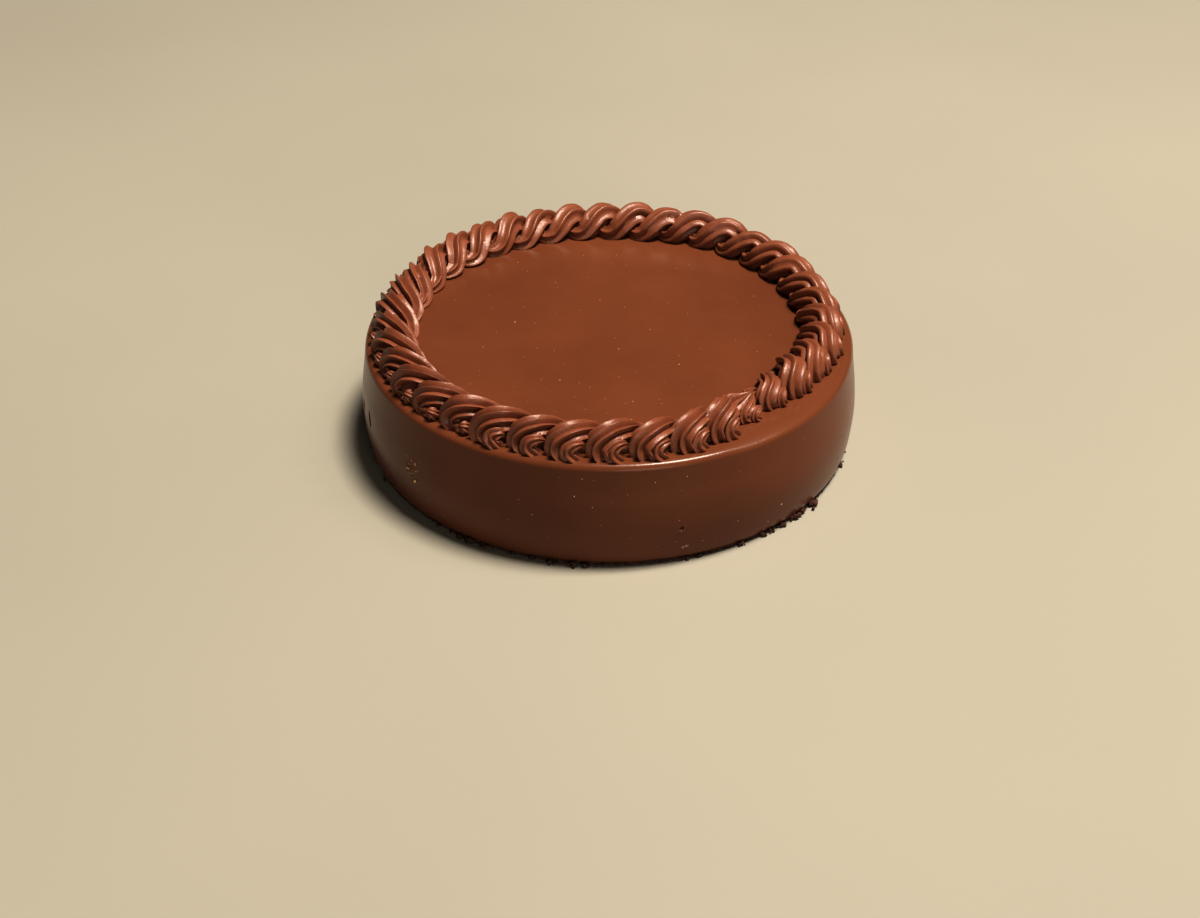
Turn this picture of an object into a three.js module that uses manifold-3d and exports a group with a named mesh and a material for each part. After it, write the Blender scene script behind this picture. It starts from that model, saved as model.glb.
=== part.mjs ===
import * as THREE from "three";
import { mergeVertices } from "three/addons/utils/BufferGeometryUtils.js";
import Module from "manifold-3d";

const wasm = await Module();
wasm.setup();

// Sizes are in millimetres. The cake rests on z = 0, the z axis runs up its middle, and -y is its front.
const GAP = 0.3;
const ROUND_SEGMENTS = 80;

// Crumb base that shows under the coat.
const BASE_RADIUS = 97.6;
const BASE_HEIGHT = 2.1;
const BASE_STEPS = 120;
const BASE_ROUGHNESS = 0.45;
// Places where crumbs stand out of the base: angle and half width in degrees, reach in mm.
const BASE_LUMPS = [
  [-40, 9, 1.6],
  [-62, 7, 1.2],
  [-99, 6, 1.1],
  [-122, 5, 1.3],
];

// Coated body: the side is slightly barrelled, and its top edge is rounded.
const TOP_Z = BASE_HEIGHT + GAP + 40.7;
const SIDE_OUTLINE = [
  [98.4, BASE_HEIGHT + GAP],
  [99.1, 3.4],
  [99.8, 7.3],
  [100, 16],
  [99.6, 25],
  [98.3, 33],
  [97.6, 39.6],
];
const EDGE_WIDTH = 4.0;
const EDGE_HEIGHT = 3.5;
const EDGE_STEPS = 5;

// Piped border: leaning turns of a ridged rope, laid one over the next round the top.
const TURNS = 38;
const RING_RADIUS = 83.5;
const RING_X = -0.8;
const RING_Y = 0.9;
const RING_OVAL = 1.014;
const FIRST_TURN_DEG = -52;
const RIDGES = 8;
const RIDGE_DEPTH = 0.46;
const SECTION_WARP = 0.25;
const SECTION_WARP_DEG = 60;
const SIZE_SPREAD = 0.06;
const BACK_SWELL = 0.1;
const FRONT_SPREAD = 2.4;
const FRONT_DEG = -82;
const HOOK_AT_DEG = 40;
const FIRST_TURN_SIZES = [0.62, 0.8];

// The middle line of a turn: mm along the ring, outward, up, and the girth there. Tail first, foot last.
const HOOKED_TAIL = [
  [15.6, -1.6, 2.0, 1.9],
  [15.4, -4.2, 1.6, 2.8],
  [13.0, -5.6, 1.3, 3.6],
  [10.4, -5.0, 2.0, 4.2],
];
const STRAIGHT_TAIL = [
  [19.5, -5.6, 0.6, 1.9],
  [16.5, -5.6, 0.9, 2.7],
  [13.5, -5.2, 1.4, 3.4],
  [10.6, -4.4, 2.2, 4.0],
];
const BODY = [
  [7.6, -2.2, 4.4, 4.6],
  [4.8, 0.6, 6.2, 4.9],
  [1.9, 3.0, 6.8, 5.1],
  [-0.8, 4.4, 5.7, 5.4],
  [-2.3, 5.0, 3.3, 5.4],
  [-1.8, 5.6, 0.8, 4.9],
  [0.3, 6.2, -0.7, 4.1],
  [2.3, 6.5, -1.6, 3.2],
];
// The last turn ends in a drawn-out point that stands off the cake.
const LAST_TAIL = [
  [17.5, -0.5, 7.6, 0.7],
  [15.2, -0.9, 6.6, 1.9],
  [12.8, -1.2, 5.8, 3.0],
  [10.4, -1.4, 5.4, 3.9],
  [7.6, -1.2, 5.0, 4.5],
];

// Where along a turn its sections stand, counted in points of the middle line.
const STATIONS = [0, 1.8, 3.6, 5.2, 6.6, 8.2, 10];
const FRAME_STEPS = 400;
const LEAST_STEP = 0.02;

// The piped mass under the arches of the turns: corners of its section, outward and up.
const CORE_CORNERS = [
  [-6.8, -1],
  [5.5, -1],
  [5.5, 1.2],
  [2.0, 7.6],
  [-3.0, 6.4],
  [-6.8, 2.2],
];

// Where the border starts and ends there is less of it: the join's angle, its half width and the share left.
const JOIN_DEG = -48;
const JOIN_HALF_DEG = 14;
const JOIN_SHARE = 0.45;
const JOIN_MIDDLE = 2;

// Edges that stand off less than this are joined up after fusing.
const FUSE_TOLERANCE = 0.05;

// A repeatable draw between -1 and 1 for turn k.
function draw(k, salt) {
  const x = Math.sin(k * 12.9898 + salt * 78.233) * 43758.5453;
  return 2 * (x - Math.floor(x)) - 1;
}

// A closed three.js geometry as a solid that can be joined and cut.
function solidFrom(geometry) {
  const bare = geometry.clone();
  bare.deleteAttribute("normal");
  bare.deleteAttribute("uv");
  const merged = mergeVertices(bare, 1e-4);
  return new wasm.Manifold(
    new wasm.Mesh({
      numProp: 3,
      vertProperties: new Float32Array(merged.attributes.position.array),
      triVerts: new Uint32Array(merged.index.array),
    }),
  );
}

function geometryFrom(solid) {
  const mesh = solid.getMesh();
  const geometry = new THREE.BufferGeometry();
  geometry.setAttribute("position", new THREE.BufferAttribute(mesh.vertProperties, 3));
  geometry.setIndex(new THREE.BufferAttribute(mesh.triVerts, 1));
  geometry.computeVertexNormals();
  return geometry;
}

// A closed profile of [radius, z] points turned about the z axis.
function latheUpright(profile) {
  const points = profile.map(([r, z]) => new THREE.Vector2(r, z));
  return new THREE.LatheGeometry(points, ROUND_SEGMENTS).rotateX(Math.PI / 2);
}

function cakeGeometry() {
  const profile = [[0, BASE_HEIGHT + GAP], ...SIDE_OUTLINE];
  const [edgeRadius, edgeZ] = SIDE_OUTLINE.at(-1);
  for (let i = 1; i <= EDGE_STEPS; i++) {
    const a = (i / EDGE_STEPS) * (Math.PI / 2);
    profile.push([edgeRadius - EDGE_WIDTH * (1 - Math.cos(a)), edgeZ + EDGE_HEIGHT * Math.sin(a)]);
  }
  profile.push([0, TOP_Z]);
  return latheUpright(profile);
}

function baseGeometry() {
  const outline = new THREE.Shape();
  for (let i = 0; i < BASE_STEPS; i++) {
    const deg = (360 * i) / BASE_STEPS - 180;
    let r = BASE_RADIUS + BASE_ROUGHNESS * draw(i, 7);
    for (const [at, halfWidth, reach] of BASE_LUMPS) {
      const off = Math.abs(deg - at) / halfWidth;
      if (off < 1) r += reach * (1 - off) * (0.5 + 0.5 * Math.abs(draw(i, 8)));
    }
    const a = THREE.MathUtils.degToRad(deg);
    outline.lineTo(r * Math.cos(a), r * Math.sin(a));
  }
  outline.curves.shift();
  return new THREE.ExtrudeGeometry(outline, { depth: BASE_HEIGHT, bevelEnabled: false, curveSegments: 1 });
}

function turnAngle(k) {
  return THREE.MathUtils.degToRad(FIRST_TURN_DEG + (360 * k) / TURNS);
}

// At the front the border stands further out.
function frontSpread(theta) {
  const front = Math.max(0, Math.cos(theta - THREE.MathUtils.degToRad(FRONT_DEG)));
  return FRONT_SPREAD * front ** 4;
}

// The middle line of turn k. Tails curl into a hook on one side of the cake and lie straight on the other.
function turnPath(k) {
  const theta = turnAngle(k);
  const side = 0.5 + 0.5 * Math.cos(theta - THREE.MathUtils.degToRad(HOOK_AT_DEG));
  const hook = THREE.MathUtils.smoothstep(side, 0, 1);
  const tail = HOOKED_TAIL.map((p, i) => p.map((v, j) => THREE.MathUtils.lerp(STRAIGHT_TAIL[i][j], v, hook)));
  const last = k === TURNS - 1;
  const path = last ? [...LAST_TAIL, ...BODY.slice(1)] : [...tail, ...BODY];
  const swell = 1 + SIZE_SPREAD * draw(k, 1) + BACK_SWELL * Math.max(0, Math.sin(theta));
  const size = FIRST_TURN_SIZES[k] ?? swell;
  return path.map(([along, out, up, girth]) => [
    along + 0.7 * draw(k, 3),
    out + 0.5 * draw(k, 2) + frontSpread(theta),
    up * size,
    girth * size,
  ]);
}

// Tangents and a transported normal along a curve, so that the section doesn't spin.
function framesAlong(curve) {
  const frames = [];
  let normal = new THREE.Vector3(0, 0, 1);
  for (let i = 0; i <= FRAME_STEPS; i++) {
    const tangent = curve.getTangent(i / FRAME_STEPS);
    normal = normal.clone().addScaledVector(tangent, -normal.dot(tangent)).normalize();
    frames.push({ tangent, normal, side: new THREE.Vector3().crossVectors(tangent, normal) });
  }
  return frames;
}

// The rings of points of turn k in ring coordinates: along, outward, up.
function turnRings(k) {
  const path = turnPath(k);
  const reach = path.length - 1;
  const line = new THREE.CatmullRomCurve3(path.map((p) => new THREE.Vector3(p[0], p[1], p[2])), false, "catmullrom");
  const girths = new THREE.CatmullRomCurve3(path.map((p) => new THREE.Vector3(p[3], 0, 0)), false, "catmullrom");
  const frames = framesAlong(line);
  const depth = RIDGE_DEPTH + 0.05 * draw(k, 4);
  const sides = 2 * RIDGES;
  const rings = [];
  let lastFrame = null;
  for (const station of STATIONS) {
    const t = station / reach;
    const frame = frames[Math.round(t * FRAME_STEPS)];
    const centre = line.getPoint(t);
    const girth = girths.getPoint(t).x;
    const turned = 0.25 * draw(k, 5) + 0.3 * draw(k, 6) * t;
    const ring = [];
    for (let j = 0; j < sides; j++) {
      const plain = (j / sides) * 2 * Math.PI;
      const a = plain + SECTION_WARP * Math.sin(plain + THREE.MathUtils.degToRad(SECTION_WARP_DEG)) + turned;
      const r = girth * (j % 2 ? 1 - depth : 1);
      const point = centre.clone();
      point.addScaledVector(frame.normal, r * Math.cos(a)).addScaledVector(frame.side, r * Math.sin(a));
      ring.push(point);
    }
    // In a tight bend a section must not fall behind the one before it.
    if (lastFrame) {
      const ahead = frame.tangent.clone().add(lastFrame.tangent).normalize();
      ring.forEach((point, j) => {
        const step = point.clone().sub(rings.at(-1)[j]).dot(ahead);
        point.addScaledVector(ahead, Math.max(LEAST_STEP - step, 0));
      });
    }
    rings.push(ring);
    lastFrame = frame;
  }
  return rings;
}

// Bends a point in ring coordinates round the top of the cake.
function roundTheRing(point, theta) {
  const phi = theta + point.x / RING_RADIUS;
  const r = RING_RADIUS + point.y;
  return [RING_X + r * Math.cos(phi), RING_Y + RING_OVAL * r * Math.sin(phi), TOP_Z + point.z];
}

function turnGeometry(k) {
  const rings = turnRings(k);
  const sides = rings[0].length;
  const theta = turnAngle(k);
  const middle = (ring) => ring.reduce((sum, p) => sum.add(p), new THREE.Vector3()).divideScalar(sides);
  const points = [...rings.flat(), middle(rings[0]), middle(rings.at(-1))];
  const positions = points.flatMap((p) => roundTheRing(p, theta));
  const faces = [];
  for (let i = 0; i < rings.length - 1; i++) {
    for (let j = 0; j < sides; j++) {
      const a = i * sides + j;
      const b = i * sides + ((j + 1) % sides);
      faces.push(a, b + sides, b, a, a + sides, b + sides);
    }
  }
  const tailMiddle = rings.length * sides;
  const lastRing = (rings.length - 1) * sides;
  for (let j = 0; j < sides; j++) {
    const next = (j + 1) % sides;
    faces.push(tailMiddle, j, next);
    faces.push(tailMiddle + 1, lastRing + next, lastRing + j);
  }
  const geometry = new THREE.BufferGeometry();
  geometry.setAttribute("position", new THREE.Float32BufferAttribute(positions, 3));
  geometry.setIndex(faces);
  return geometry;
}

function coreGeometry() {
  const steps = TURNS * 2;
  const count = CORE_CORNERS.length;
  const positions = [];
  const faces = [];
  for (let i = 0; i < steps; i++) {
    const deg = (360 * i) / steps - 180;
    const full = THREE.MathUtils.smoothstep(Math.abs(deg - JOIN_DEG), 0.3 * JOIN_HALF_DEG, JOIN_HALF_DEG);
    const share = THREE.MathUtils.lerp(JOIN_SHARE, 1, full);
    const theta = THREE.MathUtils.degToRad(deg);
    for (let j = 0; j < count; j++) {
      const [out, up] = CORE_CORNERS[j];
      const outward = JOIN_MIDDLE + share * (out - JOIN_MIDDLE) + frontSpread(theta);
      positions.push(...roundTheRing(new THREE.Vector3(0, outward, up < 0 ? up : share * up), theta));
      const a = i * count + j;
      const b = i * count + ((j + 1) % count);
      const onA = (a + count) % (steps * count);
      const onB = (b + count) % (steps * count);
      faces.push(a, onB, b, a, onA, onB);
    }
  }
  const geometry = new THREE.BufferGeometry();
  geometry.setAttribute("position", new THREE.Float32BufferAttribute(positions, 3));
  geometry.setIndex(faces);
  return geometry;
}

// All turns fused into one ring, cut flat just above the cake, without loose scraps or sealed hollows.
function borderGeometry() {
  let ring = solidFrom(coreGeometry());
  for (let k = 0; k < TURNS; k++) ring = ring.add(solidFrom(turnGeometry(k)));
  const above = new THREE.BoxGeometry(300, 300, 60).translate(0, 0, TOP_Z + GAP + 30);
  const pieces = ring.intersect(solidFrom(above)).simplify(FUSE_TOLERANCE).decompose();
  pieces.sort((a, b) => b.volume() - a.volume());
  return geometryFrom(pieces[0]);
}

function mesh(name, geometry, color, roughness) {
  const material = new THREE.MeshStandardMaterial({ color, roughness, metalness: 0 });
  const made = new THREE.Mesh(geometry, material);
  made.name = name;
  return made;
}

const group = new THREE.Group();
group.add(mesh("sponge_base", baseGeometry(), 0x2c1812, 0.9));
group.add(mesh("cake", cakeGeometry(), 0x7b3f26, 0.4));
group.add(mesh("piped_border", borderGeometry(), 0x6f3b29, 0.38));

export default group;
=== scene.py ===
"""Chocolate truffle cake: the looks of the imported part, in its own frame. Shapes are worked out in mm."""
import math

import bmesh
import bpy
import numpy as np
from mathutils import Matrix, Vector, noise


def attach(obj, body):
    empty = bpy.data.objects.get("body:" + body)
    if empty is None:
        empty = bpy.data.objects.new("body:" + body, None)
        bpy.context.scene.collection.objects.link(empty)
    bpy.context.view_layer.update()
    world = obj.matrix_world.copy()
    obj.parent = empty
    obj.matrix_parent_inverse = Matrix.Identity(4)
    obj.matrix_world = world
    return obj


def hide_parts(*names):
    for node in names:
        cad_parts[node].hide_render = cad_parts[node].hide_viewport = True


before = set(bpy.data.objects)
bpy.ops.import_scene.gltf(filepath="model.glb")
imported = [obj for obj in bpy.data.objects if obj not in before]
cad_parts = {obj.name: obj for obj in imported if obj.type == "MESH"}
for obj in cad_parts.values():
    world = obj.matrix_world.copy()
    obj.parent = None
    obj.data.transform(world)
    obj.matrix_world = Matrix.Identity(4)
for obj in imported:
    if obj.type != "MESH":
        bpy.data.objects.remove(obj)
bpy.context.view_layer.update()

MM = 0.001

# Body of the cake: the outline of its side from the foot up, and the rounding of its top edge.
BASE_HEIGHT = 1.6
COAT_FOOT_Z = 1.7
TOP_Z = 43.1
SIDE_OUTLINE = [
    (98.0, COAT_FOOT_Z),
    (98.7, 3.0),
    (99.5, 8.0),
    (100.0, 17.0),
    (99.4, 25.5),
    (98.2, 33.5),
    (97.2, 40.5),
]
EDGE_WIDTH = 2.8
EDGE_HEIGHT = TOP_Z - SIDE_OUTLINE[-1][1]
EDGE_STEPS = 12
UNDER_RADII = (0.0, 60.0, 94.0, 97.4)
# Up to this many edge widths in from the side, a row is part of the rounding.
ON_EDGE = 1.001
# Stretch of the edge where the coat has slumped into a wider rounding.
SLUMP_FROM_DEG = -61
SLUMP_TO_DEG = -26
SLUMP_SOFT_DEG = 5
SLUMP_WIDTH = 3.6
COLUMN_STEP_DEG = 1.5
SIDE_ROWS = 90
TOP_RINGS = 26
# Faint waves of the coat: height, width and seed, on the side, along its foot and on the top.
SIDE_RADIUS = 100
SIDE_FROM_RADIUS = 90
SIDE_WAVE = (0.16, 26, 0.0)
FOOT_WAVE = (0.22, 7, 5.0)
FOOT_WAVE_FADE = 4
FOOT_BAND_Z = 6
TOP_WAVE = (0.08, 34, 9.0)
# Points this close are joined and edges this short are dropped, in metres.
JOIN_WITHIN = 1e-7
THIN_EDGE = 1e-8

# Flaws in the side: angle in degrees, height, half width and half height in mm, depth, raised rim, lean.
PITS = [
    (-166.5, 21.5, 1.5, 2.9, 1.9, 0.00, 0.0),
    (-159.3, 22.8, 1.3, 3.1, 1.9, 0.00, 0.35),
    (-75.0, 16.0, 0.85, 0.8, 1.2, 0.35, 0.0),
    (-138.4, 22.4, 2.2, 1.6, 0.25, 0.00, 0.0),
    (-136.8, 18.6, 1.8, 2.2, 0.20, 0.00, 0.0),
]
PIT_COLUMN_DEG = 0.12
PIT_WINDOW_DEG = 2.6
# How ragged a flaw is, and how far out its floor, wall and rim lie, counted in its half sizes.
PIT_REACH = 3
PIT_RAGGED = (0.25, 1.1, 0.0)
PIT_FLOOR_TO = 0.55
PIT_WALL_TO = 1.05
PIT_RIM_AT = 1.25
PIT_RIM_WIDTH = 0.2

# Piped border: the ring it lies on, and how its turns differ round it.
TURNS = 38
RING_RADIUS = 83.5
RING_X = -0.8
RING_Y = 0.9
RING_OVAL = 1.014
FIRST_TURN_DEG = -52
FRONT_DEG = -90
FRONT_SPREAD = 0.3
FRONT_NARROW = 4
DRAWN_IN = 6.0
DRAWN_IN_DEG = -45
DRAWN_IN_WIDTH_DEG = 20
PUSHED_OUT = 2.5
PUSHED_OUT_DEG = 45
PUSHED_OUT_WIDTH_DEG = 25
HOOK_AT_DEG = 40
FIRST_TURN_SIZES = (0.62, 0.8)
BACK_SWELL = 0.1
SIZE_SPREAD = 0.06
OUT_SPREAD = 0.5
ALONG_SPREAD = 0.7
DEPTH_SPREAD = 0.04
PHASE_SPREAD = 0.25
TWIST_SPREAD = 0.3
RIGHT_TWIST = 0.4
# One number for each thing that is drawn for a turn. Ridges count on from theirs.
SIZE_DRAW = 1
OUT_DRAW = 2
ALONG_DRAW = 3
DEPTH_DRAW = 4
PHASE_DRAW = 5
TWIST_DRAW = 6
RIDGE_DRAW = 20
# Ridged section of a turn: finer ridges at the front and left, plump ones at the right.
RIDGES = 7
FINE_RIDGES = 9
FINE_FROM_DEG = 165
FINE_TO_DEG = 315
RIDGE_DEPTH = 0.40
CREST_ROUNDING = 0.25
KEEN_GATHER = 2.0
PLUMP_GATHER = 1.35
PLUMP_MOST = 0.8
PLUMP_AT_DEG = 10
PLUMP_NARROW = 1.5
PLUMP_POWER = 2.0
PLUMP_SHALLOWER = 0.2
RIDGE_SPREAD = 0.08
SECTION_WARP = 0.05
BACK_WARP = 0.2
SECTION_WARP_DEG = 60

# Middle line of a turn: mm along the ring, outward, up, and the girth there. Tail first, foot last.
HOOKED_TAIL = [
    (15.6, -0.4, 2.0, 1.9),
    (15.2, -2.4, 1.6, 2.7),
    (13.0, -3.6, 1.4, 3.4),
    (10.4, -3.4, 2.2, 4.0),
]
STRAIGHT_TAIL = [
    (19.5, -5.6, 0.6, 1.9),
    (16.5, -5.6, 0.9, 2.7),
    (13.5, -5.2, 1.4, 3.4),
    (10.6, -4.4, 2.2, 4.0),
]
BODY = [
    (7.6, -2.2, 4.4, 4.6),
    (4.8, 0.6, 6.2, 4.9),
    (1.9, 3.0, 6.8, 5.1),
    (-0.8, 4.4, 5.7, 5.4),
    (-2.3, 5.0, 3.3, 5.4),
    (-1.8, 5.6, 0.8, 4.9),
    (0.3, 6.2, -0.9, 4.1),
    (2.3, 6.5, -2.4, 3.2),
]
# Feet of the turns at the front of the ring, which are fuller and stand on the cake like a fan.
FAN_FOOT = [
    (-1.0, 4.4, 5.6, 5.4),
    (-2.4, 4.9, 3.6, 5.7),
    (-1.6, 5.1, 1.2, 5.9),
    (0.6, 5.2, -1.2, 5.6),
    (2.8, 5.2, -3.6, 4.8),
]
FAN_AT_DEG = -84
FAN_NARROW = 6
# Feet of the turns on the right of the ring, which run on along it before they curl.
LONG_FOOT = [
    (-1.4, 3.8, 5.5, 5.2),
    (-3.5, 4.6, 3.4, 5.1),
    (-4.4, 5.4, 1.1, 4.7),
    (-3.8, 6.0, -0.7, 4.1),
    (-2.4, 6.3, -2.4, 3.3),
]
LONG_AT_DEG = 5
LONG_NARROW = 2
# End of the rope at a foot on the left of the ring, rolled up beside it and drawn to a point.
CURL = [
    (-0.6, 5.0, 2.0, 4.4),
    (1.4, 5.8, 0.9, 4.4),
    (3.4, 6.8, 1.2, 3.8),
    (4.9, 7.8, 2.4, 2.9),
    (4.8, 8.8, 3.6, 1.9),
    (3.8, 9.3, 3.8, 0.7),
]
# Elsewhere it bends down inside the arch into short fingers instead.
FINGERS = [
    (6.6, 5.6, 4.0, 0.5),
    (4.2, 6.8, 5.2, 2.3),
    (1.8, 7.4, 4.2, 3.2),
    (1.1, 7.7, 2.1, 3.5),
    (2.1, 7.8, 0.0, 3.6),
    (3.6, 7.8, -2.2, 3.4),
]
CURL_RINGS = 17
CURL_RIDGES = 8
CURL_DEPTH = 0.3
CURL_PLUMP = 0.6
CURL_TWIST = 0.8
CURL_AT_DEG = -160
CURL_HALF_DEG = 30
CURL_FADE_DEG = 46
# Tail of the last turn, drawn out to a point over the first one.
LAST_TAIL = [
    (17.5, -0.5, 7.6, 0.7),
    (15.2, -0.9, 6.6, 1.9),
    (12.8, -1.2, 5.8, 3.0),
    (10.4, -1.4, 5.4, 3.9),
    (7.6, -1.2, 5.0, 4.5),
]
# Inside of the rope: its middle and half size out and up, and how far it shrinks at the join.
CORE_OUT = 1.6
CORE_UP = 1.6
CORE_WIDTH = 3.4
CORE_HEIGHT = 3.2
CORE_STEPS = 180
CORE_SIDES = 20
JOIN_DEG = -48
JOIN_HALF_DEG = 20
JOIN_SHARE = 0.2
JOIN_SINK = 2.5
# How finely the strands are drawn, and how uneven they are.
TURN_RINGS = 40
POINTS_PER_RIDGE = 6
FRAME_STEPS = 400
LEAST_STEP = 0.02
CREASE_DEG = 72
WOBBLE = 0.16
WOBBLE_MM = 2.4
WOBBLE_SEEDS = (2.0, 31.0, 67.0)
GIRTH_WOBBLE = 0.035
GIRTH_WOBBLE_STEP = 1.7
GIRTH_WOBBLE_SHIFT = 3.1
# How far the rope reaches into the coat, and the width and height of the space that it is kept in.
ROPE_SINK = 0.15
ROPE_SPACE = (300, 60)

# Crumb base: its ragged wall and the crumbs that have come off it.
BASE_RADIUS = 97.5
BASE_COLUMNS = 900
BASE_ROWS = 9
BASE_CREASE_DEG = 60
# Unevenness of its wall: height, width and seed of each wave.
BASE_WAVES = [
    (0.35, 5.0, 0.0),
    (0.35, 1.7, 3.0),
    (0.20, 0.8, 7.0),
]
BASE_SWELL_WAVE = (0.5, 2.2, 11.0)
# Where it swells: the middle and half the width in degrees, and how far out in mm.
BASE_SWELLS = [
    (-40, 9, 1.3),
    (-62, 7, 0.9),
    (-99, 6, 1.1),
    (-122, 5, 1.2),
]
# Crumbs hanging together under the edge of the coat: angle, distance out and the size of the largest.
CRUMB_CLUMPS = [
    (-131.0, 98.3, 1.5),
    (-124.6, 98.8, 2.0),
    (-121.5, 99.0, 2.4),
    (-118.5, 98.4, 2.1),
    (-111.5, 98.2, 1.4),
    (-106.8, 98.4, 1.5),
    (-102.7, 99.2, 2.0),
    (-97.6, 99.4, 2.3),
    (-95.4, 98.9, 1.9),
    (-73.3, 98.6, 1.7),
    (-70.6, 98.2, 1.4),
    (-60.2, 98.5, 1.7),
    (-54.8, 98.5, 2.1),
    (-52.4, 98.4, 1.6),
    (-48.8, 98.7, 2.0),
    (-44.8, 98.9, 2.5),
    (-41.9, 98.8, 2.1),
    (-37.7, 99.2, 2.6),
]
CRUMB_SEED = 20
# A crumb's ball has so many rings and sides, and bulges by these heights and widths of waves.
CRUMB_BALL = (8, 11)
CRUMB_BULGES = [(0.55, 0.7), (0.4, 0.3)]
CRUMB_STRETCH = (0.7, 1.2)
CRUMB_WAVE_SEEDS = 90
# Crumbs of a clump: sizes, spread and heights as shares of the largest one, and mm that they lie inward.
CRUMBS_PER_CLUMP = 7
CLUMP_SIZES = (0.3, 0.75)
CLUMP_ALONG = 0.75
CLUMP_INWARD = -0.3
CLUMP_OUT = 0.35
CLUMP_HEIGHTS = (0.2, 0.6)
CLUMP_SEAT = 0.42
BACK_CLUMPS = 16
BACK_CLUMP_DEG = (-25, 220)
BACK_CLUMP_OUT = (98.0, 98.8)
BACK_CLUMP_SIZES = (1.0, 2.0)
STRAY_CRUMBS = 110
STRAY_CRUMB_OUT = (98.0, 0.35)
STRAY_CRUMB_SIZES = (0.3, 1.1)
STRAY_CRUMB_HEIGHTS = (0.4, 1.0)

# Tan crumbs scuffed into the side: angle, height and size in mm.
SCUFF = [
    (-138.6, 23.1, 0.7),
    (-136.4, 24.5, 1.1),
    (-138.9, 20.6, 1.6),
    (-138.7, 19.4, 1.2),
    (-136.1, 21.8, 0.6),
    (-136.6, 16.9, 1.4),
]
# Finer grains round them: the middle and spread of their angles and heights, and their sizes.
SCUFF_SEED = 31
SCUFF_GRAINS = 26
SCUFF_GRAIN_DEG = (-137.4, 1.5)
SCUFF_GRAIN_Z = (20.6, 3.0)
SCUFF_GRAIN_SIZES = (0.2, 0.45)
# Pale flecks in the coat: on the side by angle and height, on the top by place, each with its size.
SIDE_FLECKS = [
    (-73.8, 7.2, 1.5),
    (-74.6, 6.9, 0.9),
    (-75.7, 15.3, 0.45),
    (-75.2, 14.9, 0.5),
    (-74.6, 15.1, 0.4),
    (-50.4, 12.2, 0.7),
    (-62.1, 13.2, 0.55),
    (-97.4, 31.0, 0.6),
    (-102.7, 12.3, 0.6),
    (-86.5, 32.0, 0.4),
    (-70.2, 8.2, 0.5),
    (-85.9, 14.0, 0.5),
]
TOP_FLECKS = [
    (3.7, -16.3, 0.6),
    (26.9, -28.0, 0.6),
    (-28.3, -15.5, 0.5),
    (-11.8, 15.0, 0.5),
    (-18.8, -39.4, 0.6),
    (-37.9, 5.1, 0.5),
    (-3.6, 23.5, 0.5),
]
FLECK_SEED = 47
FLECK_THICKNESS = 0.4
STRAY_FLECKS = 220
STRAY_FLECK_SIZES = (0.18, 0.42)
STRAY_SIDE_SHARE = 0.6
STRAY_SIDE_Z = (5, 38)
STRAY_TOP_RADIUS = 70
ON_SIDE_RADIUS = 97

# Tones: where in the mottling each starts, and its colour.
GANACHE_TONES = [(0.3, (0.130, 0.0435, 0.0195)), (0.72, (0.166, 0.056, 0.0250))]
GANACHE_SPECK = (0.24, 0.10, 0.055)
PIPING_TONES = [(0.3, (0.193, 0.064, 0.031)), (0.72, (0.233, 0.078, 0.038))]
CRUMB_TONES = [(0.35, (0.026, 0.010, 0.006)), (0.7, (0.125, 0.047, 0.025))]
SCUFF_TONES = [(0.38, (0.16, 0.075, 0.032)), (0.62, (0.95, 0.61, 0.27))]
FLECK_TONES = [(0.38, (0.27, 0.13, 0.08)), (0.62, (0.58, 0.41, 0.30))]
FLOOR_TONES = [(0.3, (0.30, 0.278, 0.233)), (0.7, (0.32, 0.298, 0.249))]
FLOOR_HALF = 4000

# Lights: name, place and size in metres, watts and tint. All point at one spot in the cake.
LIGHTS = [
    ("key", (0.80, 0.05, 3.05), (0.9, 0.9), 140.0, (1.0, 0.93, 0.82)),
    ("fill", (0.80, -2.85, 0.9), (1.5, 1.5), 17.0, (1.0, 0.93, 0.82)),
    ("strip", (1.26, 0.30, 2.79), (0.12, 1.5), 17.0, (1.0, 0.95, 0.88)),
]
LIGHT_AIM = (0, 0, 0.03)
SKY_TINT = (1.0, 0.92, 0.80, 1)
SKY_STRENGTH = 0.05
EXPOSURE = 0.5
GAMMA = 0.75

# Camera: its lens, how steeply it looks down, how far off it is and where it points.
IMAGE_WIDTH = 1200
FOCAL_PX = 1500
SENSOR_MM = 36
CLIP_START = 0.01
VIEW_ELEVATION_DEG = 34.74
VIEW_DISTANCE = 637.9
VIEW_AIM = (-3.58, 0.0, -20.7)


def draw(k, salt):
    """A repeatable draw between -1 and 1 for turn k, the same as in the solids."""
    x = math.sin(k * 12.9898 + salt * 78.233) * 43758.5453
    return 2 * (x - math.floor(x)) - 1


def smoothstep(x, low, high):
    t = np.clip((x - low) / (high - low), 0, 1)
    return t * t * (3 - 2 * t)


def unit(v):
    return v / np.linalg.norm(v)


def wave(point, width, seed=0.0):
    """Smooth noise between about -1 and 1 at a point in mm, with features about width mm wide."""
    return noise.noise(Vector((point[0] / width + seed, point[1] / width, point[2] / width)))


def swell(point, shape):
    """Unevenness at a point, from the height, width and seed of its waves."""
    height, width, seed = shape
    return height * wave(point, width, seed)


def new_piece(name, points_mm, faces, smooth=True):
    mesh = bpy.data.meshes.new(name)
    mesh.from_pydata((np.asarray(points_mm) * MM).tolist(), [], faces)
    mesh.update()
    mesh.polygons.foreach_set("use_smooth", [smooth] * len(mesh.polygons))
    piece = bpy.data.objects.new(name, mesh)
    bpy.context.scene.collection.objects.link(piece)
    return piece


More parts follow.
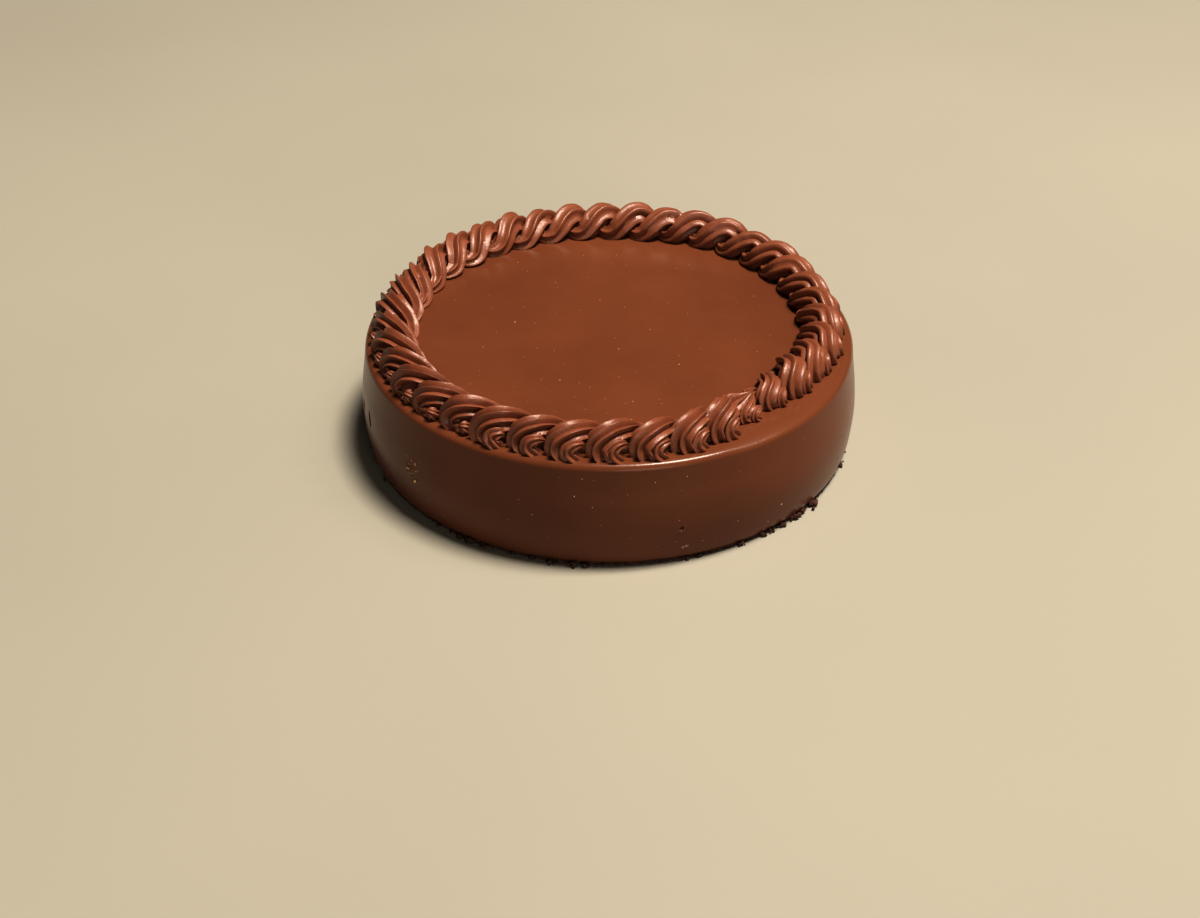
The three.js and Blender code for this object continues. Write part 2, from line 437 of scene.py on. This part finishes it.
def grid_faces(rows, columns):
    """Quads of a sheet of rows by columns points that closes on itself round the columns."""
    faces = []
    for i in range(rows - 1):
        for j in range(columns):
            a = i * columns + j
            b = i * columns + (j + 1) % columns
            faces.append((a, b, b + columns, a + columns))
    return faces


# The coated body
def cake_profile():
    """Radius and height of each row, from under the coat, over the side and the edge, to the middle."""
    low, high = SIDE_OUTLINE[0][1], SIDE_OUTLINE[-1][1]
    rows = [(r, low) for r in UNDER_RADII]
    outline = np.array(SIDE_OUTLINE)
    for s in np.linspace(0, len(outline) - 1, SIDE_ROWS):
        r, z = catmull(outline, s)
        rows.append((float(r), float(z)))
    edge_radius = SIDE_OUTLINE[-1][0]
    for i in range(1, EDGE_STEPS + 1):
        a = i / EDGE_STEPS * math.pi / 2
        rows.append((edge_radius - EDGE_WIDTH * (1 - math.cos(a)), high + EDGE_HEIGHT * math.sin(a)))
    inner = edge_radius - EDGE_WIDTH
    for i in range(1, TOP_RINGS):
        rows.append((inner * (1 - i / TOP_RINGS), TOP_Z))
    rows.append((0.0, TOP_Z))
    return rows


def cake_columns():
    """Angles of the columns in degrees, closer together where the side has a flaw."""
    angles = set(np.arange(-180, 180, COLUMN_STEP_DEG).round(3).tolist())
    for flaw in PITS:
        window = np.arange(flaw[0] - PIT_WINDOW_DEG, flaw[0] + PIT_WINDOW_DEG, PIT_COLUMN_DEG)
        angles.update(window.round(3).tolist())
    return np.array(sorted(angles))


def slump(deg):
    """How much of the wider edge rounding there is at an angle."""
    start = smoothstep(deg, SLUMP_FROM_DEG - SLUMP_SOFT_DEG, SLUMP_FROM_DEG + SLUMP_SOFT_DEG)
    end = 1 - smoothstep(deg, SLUMP_TO_DEG - SLUMP_SOFT_DEG, SLUMP_TO_DEG + SLUMP_SOFT_DEG)
    return float(start * end)


def pit_depth(deg, z):
    """How far the side is pushed in at an angle and a height."""
    depth = 0.0
    for at, height, half_width, half_height, deep, rim, lean in PITS:
        across = math.radians(deg - at) * SIDE_RADIUS + lean * (z - height)
        if abs(across) > PIT_REACH * half_width or abs(z - height) > PIT_REACH * half_height:
            continue
        ragged = 1 + swell((across, z, at), PIT_RAGGED)
        off = math.hypot(across / half_width, (z - height) / half_height) * ragged
        depth += deep * (1 - float(smoothstep(off, PIT_FLOOR_TO, PIT_WALL_TO)))
        depth -= rim * math.exp(-((off - PIT_RIM_AT) / PIT_RIM_WIDTH) ** 2)
    return depth


def coat_point(r, z, deg):
    """Point of the coat from a row's radius and height, at an angle."""
    a = math.radians(deg)
    x, y = math.cos(a), math.sin(a)
    out, up = r, z
    edge_radius, edge_z = SIDE_OUTLINE[-1]
    if z > edge_z:
        edge = max(0.0, edge_radius - r) / EDGE_WIDTH
        reach = SLUMP_WIDTH * slump(deg)
        out -= reach * min(edge, 1.0) if edge < ON_EDGE else reach * r / edge_radius
    if r > SIDE_FROM_RADIUS:
        out += swell((SIDE_RADIUS * x, SIDE_RADIUS * y, z), SIDE_WAVE) - pit_depth(deg, z)
        if z < FOOT_BAND_Z:
            fade = 1 - (z - COAT_FOOT_Z) / FOOT_WAVE_FADE
            up += fade * swell((SIDE_RADIUS * x, SIDE_RADIUS * y, 0), FOOT_WAVE)
    elif z > FOOT_BAND_Z:
        up += swell((r * x, r * y, 0), TOP_WAVE)
    return out * x, out * y, up


def build_cake():
    rows = cake_profile()
    columns = cake_columns()
    points = [coat_point(r, z, deg) for r, z in rows for deg in columns]
    cake = new_piece("cake_body", points, grid_faces(len(rows), len(columns)))
    tidy_mesh(cake)
    return cake


def tidy_mesh(piece):
    """Joins points that meet and turns all faces outward."""
    work = bmesh.new()
    work.from_mesh(piece.data)
    bmesh.ops.remove_doubles(work, verts=work.verts, dist=JOIN_WITHIN)
    bmesh.ops.dissolve_degenerate(work, edges=work.edges, dist=THIN_EDGE)
    bmesh.ops.recalc_face_normals(work, faces=work.faces)
    work.to_mesh(piece.data)
    work.free()


# The piped border
def turn_angle(k):
    return math.radians(FIRST_TURN_DEG + 360 * k / TURNS)


def degrees_off(theta, deg):
    """Degrees from an angle of the ring to theta, the short way round."""
    return (math.degrees(theta) - deg + 180) % 360 - 180


def near(theta, deg, width):
    """A smooth hump round the ring, 1 at an angle in degrees."""
    return math.exp(-(degrees_off(theta, deg) / width) ** 2)


def ring_shift(theta):
    """How far outward the ring lies at an angle: it isn't quite round."""
    spread = FRONT_SPREAD * max(0.0, math.cos(theta - math.radians(FRONT_DEG))) ** FRONT_NARROW
    spread += PUSHED_OUT * near(theta, PUSHED_OUT_DEG, PUSHED_OUT_WIDTH_DEG)
    return spread - DRAWN_IN * near(theta, DRAWN_IN_DEG, DRAWN_IN_WIDTH_DEG)


def hook_share(k):
    """How far the tail of turn k is hooked, from none on one side of the ring to all on the other."""
    side = 0.5 + 0.5 * math.cos(turn_angle(k) - math.radians(HOOK_AT_DEG))
    return float(smoothstep(side, 0, 1))


def plump_share(k):
    """How plump the ridges of turn k are, most on the right of the ring."""
    side = 0.5 + 0.5 * math.cos(turn_angle(k) - math.radians(PLUMP_AT_DEG))
    return PLUMP_MOST * side ** PLUMP_NARROW


def turn_path(k):
    """Middle line and girth of turn k: a tail and a foot blended from those of its part of the ring."""
    theta = turn_angle(k)
    hook = hook_share(k)
    tail = hook * np.array(HOOKED_TAIL) + (1 - hook) * np.array(STRAIGHT_TAIL)
    body = np.array(BODY)
    foot = body[-len(FAN_FOOT):].copy()
    for shape, at, narrow in ((FAN_FOOT, FAN_AT_DEG, FAN_NARROW), (LONG_FOOT, LONG_AT_DEG, LONG_NARROW)):
        share = max(0.0, math.cos(theta - math.radians(at))) ** narrow
        body[-len(FAN_FOOT):] += share * (np.array(shape) - foot)
    last = k == TURNS - 1
    path = np.vstack([LAST_TAIL, body[1:]]) if last else np.vstack([tail, body])
    return settle(k, path)


def settle(k, path):
    """Gives the path of turn k its own size and place on the ring."""
    theta = turn_angle(k)
    size = 1 + SIZE_SPREAD * draw(k, SIZE_DRAW) + BACK_SWELL * max(0.0, math.sin(theta))
    if k < len(FIRST_TURN_SIZES):
        size = FIRST_TURN_SIZES[k]
    path[:, 0] += ALONG_SPREAD * draw(k, ALONG_DRAW)
    path[:, 1] += OUT_SPREAD * draw(k, OUT_DRAW) + ring_shift(theta)
    path[:, 2:] *= size
    return path


def catmull(points, s):
    """A point of the smooth curve through the points, at s counted in points."""
    n = len(points) - 1
    i = min(int(s), n - 1)
    t = s - i
    p1, p2 = points[i], points[i + 1]
    p0 = points[i - 1] if i > 0 else 2 * p1 - p2
    p3 = points[i + 2] if i + 2 <= n else 2 * p2 - p1
    bend = (2 * p0 - 5 * p1 + 4 * p2 - p3) * t * t + (3 * p1 - p0 - 3 * p2 + p3) * t ** 3
    return 0.5 * (2 * p1 + (p2 - p0) * t + bend)


def section(k):
    """Angles and relative radii round the ridged section of turn k, closest together on the ridges."""
    theta = turn_angle(k)
    depth = RIDGE_DEPTH + DEPTH_SPREAD * draw(k, DEPTH_DRAW)
    depth *= 1 - PLUMP_SHALLOWER * plump_share(k)
    around = math.degrees(theta) % 360
    ridges = FINE_RIDGES if FINE_FROM_DEG < around < FINE_TO_DEG else RIDGES
    angles, radii = star(k, ridges, depth, plump_share(k))
    warp = SECTION_WARP + BACK_WARP * math.sin(theta)
    return angles + warp * np.sin(angles + math.radians(SECTION_WARP_DEG)), radii


def star(k, ridges, depth, plump):
    """Angles and relative radii of a star with uneven ridges, either keen or plump."""
    angles, radii = [], []
    gather_by = KEEN_GATHER + plump * (PLUMP_GATHER - KEEN_GATHER)
    for ridge in range(ridges):
        height = 1 + RIDGE_SPREAD * draw(k, RIDGE_DRAW + ridge)
        for i in range(POINTS_PER_RIDGE):
            t = 2 * i / POINTS_PER_RIDGE - 1
            spread = math.copysign(abs(t) ** gather_by, t)
            angles.append((ridge + spread / 2) * 2 * math.pi / ridges)
            slope = math.hypot(math.sin(spread * math.pi / 2), CREST_ROUNDING) - CREST_ROUNDING
            keen = slope / (math.hypot(1, CREST_ROUNDING) - CREST_ROUNDING)
            fall = (1 - plump) * keen + plump * abs(spread) ** PLUMP_POWER
            radii.append(1 - depth * fall + (height - 1) * (1 - fall))
    return np.array(angles), np.array(radii)


def roughen(points):
    """Small uneven swelling of the rope's surface."""
    shift = [[WOBBLE * wave(p, WOBBLE_MM, seed) for seed in WOBBLE_SEEDS] for p in points]
    return points + np.array(shift)


def sweep(k, path, count, angles, radii, twist):
    """Rings of points along a path in ring coordinates: along, outward, up."""
    reach = len(path) - 1
    fine = np.array([catmull(path, s) for s in np.linspace(0, reach, FRAME_STEPS)])[:, :3]
    tangents = np.gradient(fine, axis=0)
    tangents /= np.linalg.norm(tangents, axis=1)[:, None]
    normals = [unit(np.array([0, 0, 1.0]) - tangents[0] * tangents[0][2])]
    for tangent in tangents[1:]:
        normals.append(unit(normals[-1] - tangent * (normals[-1] @ tangent)))
    rings = []
    last_tangent = None
    for s in np.linspace(0, reach, count):
        centre = catmull(path, s)
        at = int(round(s / reach * (FRAME_STEPS - 1)))
        tangent, normal = tangents[at], normals[at]
        across = np.cross(tangent, normal)
        a = angles + PHASE_SPREAD * draw(k, PHASE_DRAW) + twist * s / reach
        uneven = GIRTH_WOBBLE * wave((s * GIRTH_WOBBLE_STEP, k * GIRTH_WOBBLE_SHIFT, 0), 1.0)
        girth = centre[3] * (1 + uneven)
        spokes = np.cos(a)[:, None] * normal + np.sin(a)[:, None] * across
        ring = centre[:3] + girth * radii[:, None] * spokes
        # In a tight bend a section must not fall behind the one before it.
        if rings:
            ahead = unit(tangent + last_tangent)
            short = np.maximum(LEAST_STEP - (ring - rings[-1]) @ ahead, 0)
            ring = ring + short[:, None] * ahead
        rings.append(ring)
        last_tangent = tangent
    return np.array(rings)


def turn_rings(k):
    angles, radii = section(k)
    twist = TWIST_SPREAD * draw(k, TWIST_DRAW) + RIGHT_TWIST * max(0.0, math.cos(turn_angle(k)))
    return sweep(k, turn_path(k), TURN_RINGS, angles, radii, twist)


def curl_rings(k):
    """Rings of the small strand beside the foot of turn k."""
    angles, radii = star(k, CURL_RIDGES, CURL_DEPTH, CURL_PLUMP)
    off = abs(degrees_off(turn_angle(k), CURL_AT_DEG))
    share = float(smoothstep(off, CURL_HALF_DEG, CURL_FADE_DEG))
    path = (1 - share) * np.array(CURL) + share * np.array(FINGERS)
    return sweep(k, settle(k, path), CURL_RINGS, angles, radii, CURL_TWIST)


def round_the_ring(points, theta):
    """Points given along the ring, outward and up, bent round it from an angle on."""
    phi = theta + points[..., 0] / RING_RADIUS
    r = RING_RADIUS + points[..., 1]
    x = RING_X + r * np.cos(phi)
    y = RING_Y + RING_OVAL * r * np.sin(phi)
    return np.stack([x, y, TOP_Z + points[..., 2]], -1)


def build_strand(k, rings):
    """A closed strand through the rings of points."""
    rings = round_the_ring(rings, turn_angle(k))
    count, sides = rings.shape[:2]
    points = roughen(np.vstack([rings.reshape(-1, 3), rings[0].mean(0), rings[-1].mean(0)]))
    faces = []
    for i in range(count - 1):
        for j in range(sides):
            a = i * sides + j
            b = i * sides + (j + 1) % sides
            faces.append((a, a + sides, b + sides))
            faces.append((a, b + sides, b))
    middle = count * sides
    for j in range(sides):
        following = (j + 1) % sides
        faces.append((middle, j, following))
        faces.append((middle + 1, middle - sides + following, middle - sides + j))
    return new_piece(f"strand_{k}", points, faces)


def build_core():
    """The inside of the rope, which closes the gaps under its arches."""
    points = []
    for j in range(CORE_STEPS):
        theta = 2 * math.pi * j / CORE_STEPS
        off = abs(degrees_off(theta, JOIN_DEG))
        share = JOIN_SHARE + (1 - JOIN_SHARE) * float(smoothstep(off, 0, JOIN_HALF_DEG))
        for i in range(CORE_SIDES):
            a = 2 * math.pi * i / CORE_SIDES
            out = CORE_OUT + share * CORE_WIDTH * math.cos(a) + ring_shift(theta)
            up = share * (CORE_UP + CORE_HEIGHT * math.sin(a)) - JOIN_SINK * (1 - share)
            points.append(round_the_ring(np.array([0.0, out, up]), theta))
    faces = []
    for j in range(CORE_STEPS):
        following = (j + 1) % CORE_STEPS
        for i in range(CORE_SIDES):
            beside = (i + 1) % CORE_SIDES
            faces.append((j * CORE_SIDES + i, following * CORE_SIDES + i,
                          following * CORE_SIDES + beside, j * CORE_SIDES + beside))
    return new_piece("core", points, faces)


def combine(first, other, operation):
    """Joins, cuts or intersects first with other, and removes other."""
    change = first.modifiers.new("combine", "BOOLEAN")
    change.solver = "MANIFOLD"
    change.operation = operation
    change.object = other
    graph = bpy.context.evaluated_depsgraph_get()
    made = bpy.data.meshes.new_from_object(first.evaluated_get(graph))
    first.modifiers.clear()
    first.data = made
    bpy.data.objects.remove(other)


def build_border():
    strands = []
    for k in range(TURNS):
        strands.append(build_strand(k, turn_rings(k)))
        strands.append(build_strand(k, curl_rings(k)))
    strands.append(build_core())
    while len(strands) > 1:
        pairs = []
        for i in range(0, len(strands) - 1, 2):
            combine(strands[i], strands[i + 1], "UNION")
            pairs.append(strands[i])
        if len(strands) % 2:
            pairs.append(strands[-1])
        strands = pairs
    border = strands[0]
    width, height = ROPE_SPACE
    middle = (0, 0, TOP_Z - ROPE_SINK + height / 2)
    keep = box_piece("above_the_cake", middle, (width, width, height))
    combine(border, keep, "INTERSECT")
    border.name = "piped_border_rope"
    border.data.polygons.foreach_set("use_smooth", [True] * len(border.data.polygons))
    border.data.set_sharp_from_angle(angle=math.radians(CREASE_DEG))
    return border


def box_piece(name, middle, size):
    corners = []
    for x in (-0.5, 0.5):
        for y in (-0.5, 0.5):
            for z in (-0.5, 0.5):
                corners.append([m + s * d for m, s, d in zip(middle, size, (x, y, z))])
    faces = [(0, 1, 3, 2), (4, 6, 7, 5), (0, 4, 5, 1), (2, 3, 7, 6), (0, 2, 6, 4), (1, 5, 7, 3)]
    return new_piece(name, corners, faces, smooth=False)


# The crumb base
def build_base():
    points = []
    for i in range(BASE_ROWS):
        z = BASE_HEIGHT * i / (BASE_ROWS - 1)
        for j in range(BASE_COLUMNS):
            deg = 360 * j / BASE_COLUMNS - 180
            a = math.radians(deg)
            at = (SIDE_RADIUS * math.cos(a), SIDE_RADIUS * math.sin(a), z)
            r = BASE_RADIUS + sum(swell(at, shape) for shape in BASE_WAVES)
            for middle, half_width, reach in BASE_SWELLS:
                off = abs(deg - middle) / half_width
                if off < 1:
                    r += reach * (1 - off) * (0.5 + swell(at, BASE_SWELL_WAVE))
            points.append((r * math.cos(a), r * math.sin(a), z))
    faces = grid_faces(BASE_ROWS, BASE_COLUMNS)
    bottom, top = len(points), len(points) + 1
    points += [(0, 0, 0), (0, 0, BASE_HEIGHT)]
    last = (BASE_ROWS - 1) * BASE_COLUMNS
    for j in range(BASE_COLUMNS):
        following = (j + 1) % BASE_COLUMNS
        faces.append((bottom, following, j))
        faces.append((top, last + j, last + following))
    base = new_piece("crumb_base", points, faces)
    base.data.set_sharp_from_angle(angle=math.radians(BASE_CREASE_DEG))
    return base


def lump(rng, middle, size, thickness=1.0, facing=(0, 0, 1)):
    """A crumb: a small ball of points pushed in and out at random, thinned along the way it faces."""
    points, faces = ball(*CRUMB_BALL)
    seed = float(rng.uniform(0, CRUMB_WAVE_SEEDS))
    stretch = rng.uniform(*CRUMB_STRETCH, 3) * size / 2
    turned = rng.uniform(0, math.tau)
    cos, sin = math.cos(turned), math.sin(turned)
    made = []
    for p in points:
        bulge = 1 + sum(swell(p, (height, width, seed)) for height, width in CRUMB_BULGES)
        x, y, z = p * stretch * bulge
        made.append((x * cos - y * sin, x * sin + y * cos, z))
    made = np.array(made)
    facing = np.array(facing)
    made += (thickness - 1) * (made @ facing)[:, None] * facing + middle
    made[:, 2] = np.maximum(made[:, 2], 0)
    return made, faces


def ball(rings, sides):
    """Points and faces of a ball of radius 1."""
    points = [(0, 0, -1)]
    for i in range(1, rings):
        tilt = math.pi * i / rings
        for j in range(sides):
            a = 2 * math.pi * j / sides
            points.append((math.sin(tilt) * math.cos(a), math.sin(tilt) * math.sin(a), -math.cos(tilt)))
    points.append((0, 0, 1))
    top = len(points) - 1
    faces = []
    for j in range(sides):
        following = (j + 1) % sides
        faces.append((0, 1 + following, 1 + j))
        faces.append((top, top - sides + j, top - sides + following))
    for i in range(rings - 2):
        for j in range(sides):
            a = 1 + i * sides + j
            b = 1 + i * sides + (j + 1) % sides
            faces.append((a, b, b + sides, a + sides))
    return np.array(points), faces


def gather(name, lumps):
    """Many small closed lumps as one piece."""
    points, faces = [], []
    for made, rims in lumps:
        start = sum(len(p) for p in points)
        points.append(made)
        faces += [tuple(start + i for i in face) for face in rims]
    return new_piece(name, np.vstack(points), faces)


def clump(rng, deg, out, size):
    """A few crumbs that hang together, the largest in the middle."""
    made = []
    for i in range(CRUMBS_PER_CLUMP):
        part = size * (1.0 if i == 0 else rng.uniform(*CLUMP_SIZES))
        along = 0.0 if i == 0 else rng.normal(0, CLUMP_ALONG * size)
        a = math.radians(deg) + along / out
        r = out + (0.0 if i == 0 else rng.normal(CLUMP_INWARD, CLUMP_OUT * size))
        z = max(CLUMP_SEAT * part, rng.uniform(*CLUMP_HEIGHTS) * size)
        made.append(lump(rng, (r * math.cos(a), r * math.sin(a), z), part))
    return made


def build_crumbs():
    rng = np.random.default_rng(CRUMB_SEED)
    lumps = []
    for deg, out, size in CRUMB_CLUMPS:
        lumps += clump(rng, deg, out, size)
    for _ in range(BACK_CLUMPS):
        deg = rng.uniform(*BACK_CLUMP_DEG)
        out = rng.uniform(*BACK_CLUMP_OUT)
        lumps += clump(rng, deg, out, rng.uniform(*BACK_CLUMP_SIZES))
    for _ in range(STRAY_CRUMBS):
        a = rng.uniform(0, math.tau)
        r = rng.normal(*STRAY_CRUMB_OUT)
        size = rng.uniform(*STRAY_CRUMB_SIZES)
        z = rng.uniform(*STRAY_CRUMB_HEIGHTS) * size
        lumps.append(lump(rng, (r * math.cos(a), r * math.sin(a), z), size))
    return gather("loose_crumbs", lumps)


def on_side(deg, z):
    """A point on the coat's side at an angle and a height."""
    rows = [row for row in cake_profile() if row[0] > ON_SIDE_RADIUS and row[1] > COAT_FOOT_Z]
    r = float(np.interp(z, [row[1] for row in rows], [row[0] for row in rows]))
    a = math.radians(deg)
    return np.array([r * math.cos(a), r * math.sin(a), z])


def build_scuff():
    rng = np.random.default_rng(SCUFF_SEED)
    lumps = [lump(rng, on_side(deg, z), size) for deg, z, size in SCUFF]
    for _ in range(SCUFF_GRAINS):
        middle = on_side(rng.normal(*SCUFF_GRAIN_DEG), rng.normal(*SCUFF_GRAIN_Z))
        lumps.append(lump(rng, middle, rng.uniform(*SCUFF_GRAIN_SIZES)))
    return gather("scuffed_crumbs", lumps)


def side_fleck(rng, deg, z, size):
    """A thin fleck that lies flat on the side."""
    a = math.radians(deg)
    return lump(rng, on_side(deg, z), size, FLECK_THICKNESS, (math.cos(a), math.sin(a), 0))


def build_flecks():
    rng = np.random.default_rng(FLECK_SEED)
    lumps = [side_fleck(rng, deg, z, size) for deg, z, size in SIDE_FLECKS]
    lumps += [lump(rng, (x, y, TOP_Z), size, FLECK_THICKNESS) for x, y, size in TOP_FLECKS]
    for _ in range(STRAY_FLECKS):
        size = rng.uniform(*STRAY_FLECK_SIZES)
        if rng.uniform() < STRAY_SIDE_SHARE:
            lumps.append(side_fleck(rng, rng.uniform(-180, 180), rng.uniform(*STRAY_SIDE_Z), size))
        else:
            r = STRAY_TOP_RADIUS * math.sqrt(rng.uniform())
            a = rng.uniform(0, math.tau)
            lumps.append(lump(rng, (r * math.cos(a), r * math.sin(a), TOP_Z), size, FLECK_THICKNESS))
    return gather("pale_flecks", lumps)


# Materials
def material(name):
    """A new material with its nodes, links and shader, and the object coordinates."""
    made = bpy.data.materials.new(name)
    made.use_nodes = True
    nodes = made.node_tree.nodes
    coords = nodes.new("ShaderNodeTexCoord").outputs["Object"]
    return made, nodes, made.node_tree.links, nodes["Principled BSDF"], coords


def noise_node(nodes, links, coords, scale, detail, rough):
    node = nodes.new("ShaderNodeTexNoise")
    node.inputs["Scale"].default_value = scale
    node.inputs["Detail"].default_value = detail
    node.inputs["Roughness"].default_value = rough
    links.new(coords, node.inputs["Vector"])
    return node.outputs["Fac"]


def ramp_node(nodes, links, value, stops):
    node = nodes.new("ShaderNodeValToRGB")
    ramp = node.color_ramp
    while len(ramp.elements) < len(stops):
        ramp.elements.new(0.5)
    for element, (place, colour) in zip(ramp.elements, stops):
        element.position = place
        element.color = (*colour, 1)
    links.new(value, node.inputs["Fac"])
    return node.outputs["Color"]


def math_node(nodes, links, operation, *values):
    node = nodes.new("ShaderNodeMath")
    node.operation = operation
    for socket, value in zip(node.inputs, values):
        if isinstance(value, (int, float)):
            socket.default_value = value
        else:
            links.new(value, socket)
    return node.outputs["Value"]


def mix_node(nodes, links, factor, first, second):
    node = nodes.new("ShaderNodeMix")
    node.data_type = "RGBA"
    links.new(factor, node.inputs["Factor"])
    for socket, value in zip((node.inputs[6], node.inputs[7]), (first, second)):
        if isinstance(value, tuple):
            socket.default_value = (*value, 1)
        else:
            links.new(value, socket)
    return node.outputs[2]


def patchy_roughness(nodes, links, value, shader, least, range_above):
    """Roughness that follows a mottling from the least value up."""
    rough = math_node(nodes, links, "MULTIPLY_ADD", value, range_above, least)
    links.new(rough, shader.inputs["Roughness"])


def bump_node(nodes, links, height, shader, strength, distance):
    node = nodes.new("ShaderNodeBump")
    node.inputs["Strength"].default_value = strength
    node.inputs["Distance"].default_value = distance
    links.new(height, node.inputs["Height"])
    links.new(node.outputs["Normal"], shader.inputs["Normal"])


def speck_mask(nodes, links, coords, scale, size, share):
    """White where a small dot lies: one dot in some of the cells of a random grid."""
    cells = nodes.new("ShaderNodeTexVoronoi")
    cells.inputs["Scale"].default_value = scale
    links.new(coords, cells.inputs["Vector"])
    inside = math_node(nodes, links, "LESS_THAN", cells.outputs["Distance"], size)
    split = nodes.new("ShaderNodeSeparateColor")
    links.new(cells.outputs["Color"], split.inputs["Color"])
    chosen = math_node(nodes, links, "LESS_THAN", split.outputs["Red"], share)
    return math_node(nodes, links, "MULTIPLY", inside, chosen)


def ganache_material():
    made, nodes, links, shader, coords = material("ganache")
    broad = noise_node(nodes, links, coords, scale=18, detail=5, rough=0.55)
    tone = ramp_node(nodes, links, broad, GANACHE_TONES)
    specks = speck_mask(nodes, links, coords, scale=330, size=0.05, share=0.14)
    tone = mix_node(nodes, links, specks, tone, GANACHE_SPECK)
    links.new(tone, shader.inputs["Base Color"])
    shader.inputs["Specular IOR Level"].default_value = 0.25
    fine = noise_node(nodes, links, coords, scale=700, detail=2, rough=0.6)
    patchy = noise_node(nodes, links, coords, scale=60, detail=3, rough=0.6)
    patchy_roughness(nodes, links, patchy, shader, least=0.18, range_above=0.14)
    bump_node(nodes, links, fine, shader, strength=0.12, distance=0.0002)
    return made


def piping_material():
    made, nodes, links, shader, coords = material("piping")
    broad = noise_node(nodes, links, coords, scale=90, detail=4, rough=0.6)
    tone = ramp_node(nodes, links, broad, PIPING_TONES)
    links.new(tone, shader.inputs["Base Color"])
    shader.inputs["Specular IOR Level"].default_value = 0.5
    fine = noise_node(nodes, links, coords, scale=900, detail=3, rough=0.65)
    patchy_roughness(nodes, links, broad, shader, least=0.34, range_above=0.12)
    bump_node(nodes, links, fine, shader, strength=0.35, distance=0.0004)
    return made


def crumb_material():
    made, nodes, links, shader, coords = material("crumb")
    grain = noise_node(nodes, links, coords, scale=900, detail=4, rough=0.7)
    tone = ramp_node(nodes, links, grain, CRUMB_TONES)
    links.new(tone, shader.inputs["Base Color"])
    shader.inputs["Roughness"].default_value = 0.85
    bump_node(nodes, links, grain, shader, strength=0.9, distance=0.0006)
    return made


def fleck_material(name, tones):
    """Mottled bits between two tones."""
    made, nodes, links, shader, coords = material(name)
    grain = noise_node(nodes, links, coords, scale=700, detail=3, rough=0.6)
    links.new(ramp_node(nodes, links, grain, tones), shader.inputs["Base Color"])
    shader.inputs["Roughness"].default_value = 0.6
    bump_node(nodes, links, grain, shader, strength=0.4, distance=0.0002)
    return made


def floor_material():
    made, nodes, links, shader, coords = material("floor")
    broad = noise_node(nodes, links, coords, scale=3, detail=3, rough=0.5)
    tone = ramp_node(nodes, links, broad, FLOOR_TONES)
    links.new(tone, shader.inputs["Base Color"])
    shader.inputs["Roughness"].default_value = 0.8
    return made


# Floor, lights and camera
def build_floor():
    half = FLOOR_HALF
    corners = [(-half, -half, 0), (half, -half, 0), (half, half, 0), (-half, half, 0)]
    floor = new_piece("floor", corners, [(0, 1, 2, 3)], smooth=False)
    floor.data.materials.append(floor_material())


def soft_light(name, place, size, watts, colour):
    light = bpy.data.lights.new(name, "AREA")
    light.shape = "ELLIPSE"
    light.size, light.size_y = size
    light.energy = watts
    light.color = colour
    lamp = bpy.data.objects.new(name, light)
    bpy.context.scene.collection.objects.link(lamp)
    lamp.location = place
    lamp.rotation_euler = (Vector(LIGHT_AIM) - Vector(place)).to_track_quat("-Z", "Y").to_euler()


def build_lights():
    for light in LIGHTS:
        soft_light(*light)
    world = bpy.data.worlds.new("studio")
    bpy.context.scene.world = world
    world.use_nodes = True
    sky = world.node_tree.nodes["Background"]
    sky.inputs["Color"].default_value = SKY_TINT
    sky.inputs["Strength"].default_value = SKY_STRENGTH


def build_camera():
    elevation = math.radians(VIEW_ELEVATION_DEG)
    back = Vector((0, -math.cos(elevation), math.sin(elevation)))
    data = bpy.data.cameras.new("camera")
    data.sensor_fit = "HORIZONTAL"
    data.sensor_width = SENSOR_MM
    data.lens = FOCAL_PX * SENSOR_MM / IMAGE_WIDTH
    data.clip_start = CLIP_START
    camera = bpy.data.objects.new("camera", data)
    bpy.context.scene.collection.objects.link(camera)
    camera.location = (Vector(VIEW_AIM) + VIEW_DISTANCE * back) * MM
    camera.rotation_euler = (-back).to_track_quat("-Z", "Y").to_euler()
    bpy.context.scene.camera = camera


def place(piece, look, slot, node=None):
    piece.data.materials.clear()
    piece.data.materials.append(look)
    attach(piece, "root")
    if node:
        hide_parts(node)


view = bpy.context.scene.view_settings
view.view_transform = "Standard"
view.exposure = EXPOSURE
view.gamma = GAMMA
ganache, piping, crumb = ganache_material(), piping_material(), crumb_material()
place(build_cake(), ganache, "ganache", "cake")
place(build_border(), piping, "piping", "piped_border")
place(build_base(), crumb, "crumb", "sponge_base")
place(build_crumbs(), crumb, "crumb")
place(build_scuff(), fleck_material("scuffed_crumb", SCUFF_TONES), "crumb")
place(build_flecks(), fleck_material("pale_fleck", FLECK_TONES), "crumb")
build_floor()
build_lights()
build_camera()
